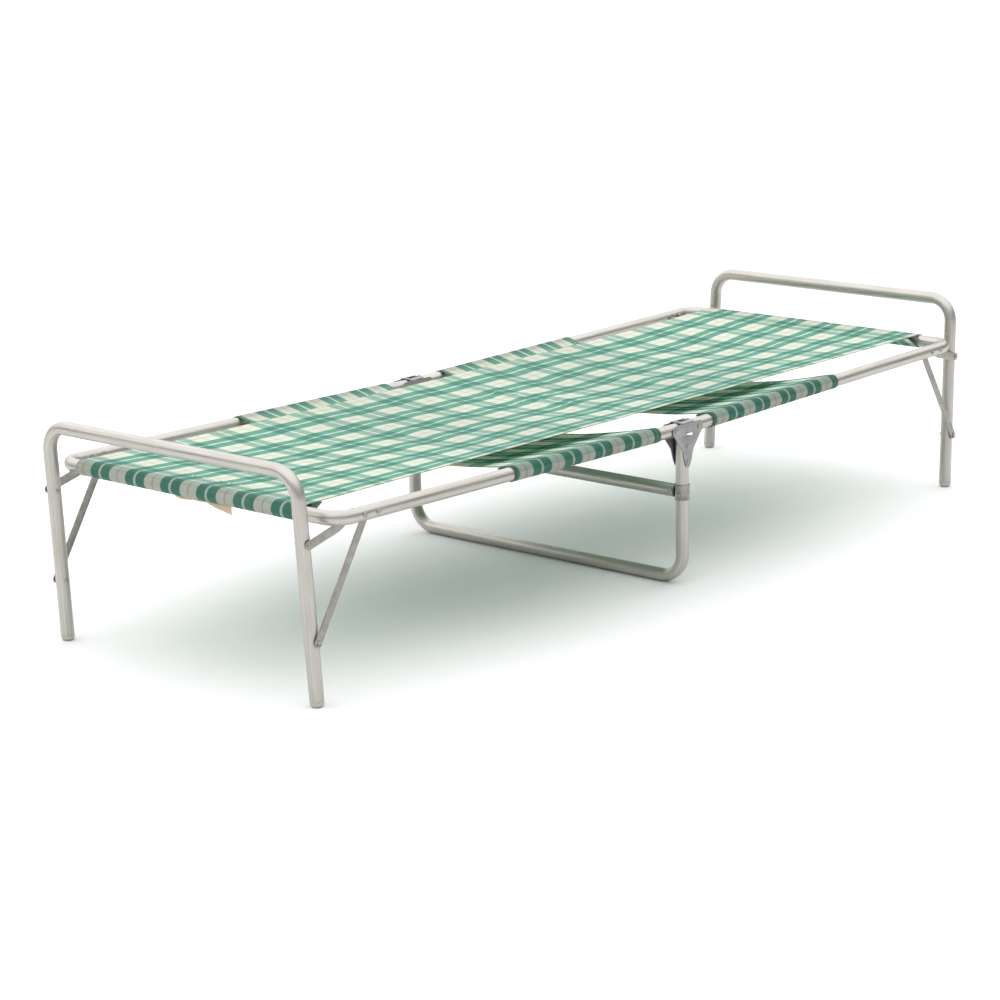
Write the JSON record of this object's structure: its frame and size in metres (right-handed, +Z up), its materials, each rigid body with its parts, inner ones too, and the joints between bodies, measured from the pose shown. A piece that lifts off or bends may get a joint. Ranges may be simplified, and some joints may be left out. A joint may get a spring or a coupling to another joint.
{
  "type": "folding camp cot",
  "caption": "Folding single bed: two hinged tube half frames, folding end legs, a middle leg and a plaid cloth sling.",
  "frame": {"origin": "centre of the footprint, on the floor", "axes": "+X along the bed from the foot end to the head end, +Y across it to the left, +Z up"},
  "size_m": [2.0078, 0.7348, 0.4198],
  "materials": {
    "aluminium_tube": "drawn tube, satin with lengthwise streaks and light wear",
    "zinc_steel": "zinc plated flat steel, dulled",
    "rivet_metal": "domed rivet heads, dulled",
    "foot_plastic": "moulded grey plastic, scuffed",
    "plaid_cloth": "woven green and cream plaid, matt, slightly translucent",
    "label_cloth": "plain tan tag, frayed, no text"
  },
  "bodies": {
    "center": {"foot_left_hinge_rivet": "rivet_metal", "foot_right_hinge_rivet": "rivet_metal", "head_left_hinge_rivet": "rivet_metal", "head_right_hinge_rivet": "rivet_metal", "middle_leg": "aluminium_tube", "middle_crossbar": "aluminium_tube", "left_hinge_bracket": "zinc_steel", "left_collar": "zinc_steel", "left_bracket_rivet_upper": "rivet_metal", "left_bracket_rivet_lower": "rivet_metal", "left_collar_rivet_post": "rivet_metal", "left_collar_rivet_bar": "rivet_metal", "right_hinge_bracket": "zinc_steel", "right_collar": "zinc_steel", "right_bracket_rivet_upper": "rivet_metal", "right_bracket_rivet_lower": "rivet_metal", "right_collar_rivet_post": "rivet_metal", "right_collar_rivet_bar": "rivet_metal"},
    "foot_half": {"foot_half_frame": "aluminium_tube", "foot_sling": "plaid_cloth", "foot_cross_panel": "plaid_cloth", "sewn_label": "label_cloth", "foot_left_link_rail_rivet": "rivet_metal", "foot_left_brace_rail_rivet": "rivet_metal", "foot_right_link_rail_rivet": "rivet_metal", "foot_right_brace_rail_rivet": "rivet_metal"},
    "foot_links": {"foot_left_short_link": "zinc_steel", "foot_right_short_link": "zinc_steel"},
    "foot_leg": {"foot_end_leg": "aluminium_tube", "foot_left_foot_plug": "foot_plastic", "foot_left_link_leg_rivet": "rivet_metal", "foot_left_post_rivet": "rivet_metal", "foot_right_foot_plug": "foot_plastic", "foot_right_link_leg_rivet": "rivet_metal", "foot_right_post_rivet": "rivet_metal"},
    "foot_braces": {"foot_left_brace": "zinc_steel", "foot_left_brace_rivet": "rivet_metal", "foot_right_brace": "zinc_steel", "foot_right_brace_rivet": "rivet_metal"},
    "head_half": {"head_half_frame": "aluminium_tube", "head_sling": "plaid_cloth", "head_cross_panel": "plaid_cloth", "head_left_link_rail_rivet": "rivet_metal", "head_left_brace_rail_rivet": "rivet_metal", "head_right_link_rail_rivet": "rivet_metal", "head_right_brace_rail_rivet": "rivet_metal"},
    "head_links": {"head_left_short_link": "zinc_steel", "head_right_short_link": "zinc_steel"},
    "head_leg": {"head_end_leg": "aluminium_tube", "head_left_foot_plug": "foot_plastic", "head_left_link_leg_rivet": "rivet_metal", "head_left_post_rivet": "rivet_metal", "head_right_foot_plug": "foot_plastic", "head_right_link_leg_rivet": "rivet_metal", "head_right_post_rivet": "rivet_metal"},
    "head_braces": {"head_left_brace": "zinc_steel", "head_left_brace_rivet": "rivet_metal", "head_right_brace": "zinc_steel", "head_right_brace_rivet": "rivet_metal"}
  },
  "joints": [
    {"name": "foot_half_fold", "type": "hinge", "parent": "center", "child": "foot_half", "pos_m": [-0.0345, 0, 0.30948], "axis": [0, 1, 0], "range_deg": [0, 85]},
    {"name": "foot_leg_fold", "type": "hinge", "parent": "foot_half", "child": "foot_links", "pos_m": [-0.88, 0, 0.32124], "axis": [0, -1, 0], "range_deg": [0, 133.44]},
    {"name": "foot_leg_swing", "type": "hinge", "parent": "foot_links", "child": "foot_leg", "pos_m": [-0.98473, 0, 0.286], "axis": [0, -1, 0], "range_deg": [-45.99, 0]},
    {"name": "foot_brace_swing", "type": "hinge", "parent": "foot_half", "child": "foot_braces", "pos_m": [-0.848, 0, 0.32079], "axis": [0, -1, 0], "range_deg": [0, 109.98]},
    {"name": "head_half_fold", "type": "hinge", "parent": "center", "child": "head_half", "pos_m": [0.0345, 0, 0.30948], "axis": [0, -1, 0], "range_deg": [0, 85]},
    {"name": "head_leg_fold", "type": "hinge", "parent": "head_half", "child": "head_links", "pos_m": [0.88, 0, 0.32124], "axis": [0, 1, 0], "range_deg": [0, 133.44]},
    {"name": "head_leg_swing", "type": "hinge", "parent": "head_links", "child": "head_leg", "pos_m": [0.98473, 0, 0.286], "axis": [0, 1, 0], "range_deg": [-45.99, 0]},
    {"name": "head_brace_swing", "type": "hinge", "parent": "head_half", "child": "head_braces", "pos_m": [0.848, 0, 0.32079], "axis": [0, 1, 0], "range_deg": [0, 109.98]}
  ],
  "couplings": [
    {"joint": "foot_leg_swing", "follows": "foot_leg_fold", "ratio": -0.34427},
    {"joint": "foot_brace_swing", "follows": "foot_leg_fold", "ratio": 0.82382},
    {"joint": "head_leg_swing", "follows": "head_leg_fold", "ratio": -0.34427},
    {"joint": "head_brace_swing", "follows": "head_leg_fold", "ratio": 0.82382}
  ]
}
